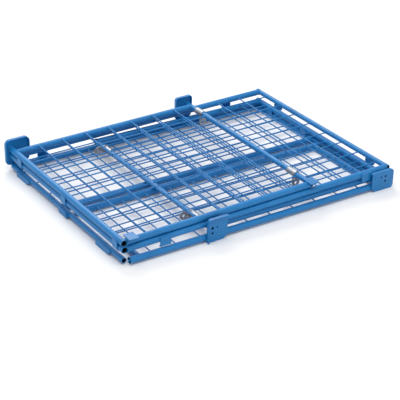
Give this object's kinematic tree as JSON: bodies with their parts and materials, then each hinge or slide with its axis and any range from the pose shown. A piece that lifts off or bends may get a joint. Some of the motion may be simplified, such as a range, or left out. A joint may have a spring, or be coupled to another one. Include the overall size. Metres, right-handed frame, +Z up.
{
  "type": "pallet converter frame",
  "caption": "Folding mesh frame that turns a pallet into a side-walled container, folded flat, with strap hinges, a drop flap, sliding latches and stacking plates.",
  "frame": {"origin": "middle of the folded frame's bounding box, on the ground", "axes": "+X along the long gates, +Y across them, +Z up"},
  "size_m": [1.1728, 0.862, 0.13],
  "materials": {
    "blue_coat": "semi-gloss powder coat",
    "zinc_plate": "bright zinc plate"
  },
  "bodies": {
    "lower_flap": {"lower_flap_bottom_rail": "blue_coat", "lower_flap_cross_wires": "blue_coat", "lower_flap_left_stile": "blue_coat", "lower_flap_right_stile": "blue_coat", "lower_flap_top_rail": "blue_coat", "lower_flap_uprights": "blue_coat"},
    "lower_latch_back": {"lower_latch_back_eye": "zinc_plate", "lower_latch_back_sleeve": "zinc_plate"},
    "lower_latch_front": {"lower_latch_front_eye": "zinc_plate", "lower_latch_front_sleeve": "zinc_plate"},
    "lower_long": {"lower_long_back_lug": "blue_coat", "lower_long_bottom_rail": "blue_coat", "lower_long_cross_wires": "blue_coat", "lower_long_free_post": "blue_coat", "lower_long_front_lug": "blue_coat", "lower_long_hinge_post": "blue_coat", "lower_long_left_pivot_pin": "zinc_plate", "lower_long_mid_rail": "blue_coat", "lower_long_right_pivot_pin": "zinc_plate", "lower_long_uprights": "blue_coat"},
    "lower_short": {"lower_short_back_rail": "blue_coat", "lower_short_back_strap": "blue_coat", "lower_short_cross_wires": "blue_coat", "lower_short_free_post": "blue_coat", "lower_short_front_rail": "blue_coat", "lower_short_front_strap": "blue_coat", "lower_short_hinge_post": "blue_coat", "lower_short_left_plate": "blue_coat", "lower_short_middle_strap": "blue_coat", "lower_short_right_plate": "blue_coat", "lower_short_uprights": "blue_coat"},
    "upper_latch_back": {"upper_latch_back_eye": "zinc_plate", "upper_latch_back_sleeve": "zinc_plate"},
    "upper_latch_front": {"upper_latch_front_eye": "zinc_plate", "upper_latch_front_sleeve": "zinc_plate"},
    "upper_long": {"upper_long_back_left_hook": "blue_coat", "upper_long_back_lug": "blue_coat", "upper_long_back_rail": "blue_coat", "upper_long_back_right_hook": "blue_coat", "upper_long_cross_wires": "blue_coat", "upper_long_free_post": "blue_coat", "upper_long_front_left_hook": "blue_coat", "upper_long_front_lug": "blue_coat", "upper_long_front_rail": "blue_coat", "upper_long_front_right_hook": "blue_coat", "upper_long_hinge_post": "blue_coat", "upper_long_uprights": "blue_coat"},
    "upper_short": {"upper_short_back_rail": "blue_coat", "upper_short_back_strap": "blue_coat", "upper_short_cross_wires": "blue_coat", "upper_short_free_post": "blue_coat", "upper_short_free_tab": "blue_coat", "upper_short_front_rail": "blue_coat", "upper_short_front_strap": "blue_coat", "upper_short_hinge_post": "blue_coat", "upper_short_left_plate": "blue_coat", "upper_short_left_tab": "blue_coat", "upper_short_middle_strap": "blue_coat", "upper_short_right_plate": "blue_coat", "upper_short_uprights": "blue_coat"}
  },
  "joints": [
    {"name": "flap_hinge", "type": "hinge", "parent": "lower_long", "child": "lower_flap", "pos_m": [0.00256, -0.022, 0.0153], "axis": [1, 0, 0], "range_deg": [0, 150]},
    {"name": "lower_short_hinge", "type": "hinge", "parent": "lower_long", "child": "lower_short", "pos_m": [0.56381, 0.004, 0.0153], "axis": [0, 1, 0], "range_deg": [0, 90]},
    {"name": "upper_pair_lift", "type": "slide", "parent": "lower_short", "child": "upper_long", "axis": [0, 0, 1], "range_m": [0, 0.3]},
    {"name": "upper_short_hinge", "type": "hinge", "parent": "upper_long", "child": "upper_short", "pos_m": [-0.55869, 0.004, 0.05624], "axis": [0, -1, 0], "range_deg": [0, 90]},
    {"name": "lower_latch_front_slide", "type": "slide", "parent": "lower_short", "child": "lower_latch_front", "axis": [0, -1, 0], "range_m": [0, 0.025]},
    {"name": "lower_latch_back_slide", "type": "slide", "parent": "lower_short", "child": "lower_latch_back", "axis": [0, -1, 0], "range_m": [0, 0.025]},
    {"name": "upper_latch_front_slide", "type": "slide", "parent": "upper_short", "child": "upper_latch_front", "axis": [0, 1, 0], "range_m": [0, 0.025]},
    {"name": "upper_latch_back_slide", "type": "slide", "parent": "upper_short", "child": "upper_latch_back", "axis": [0, 1, 0], "range_m": [0, 0.025]}
  ]
}
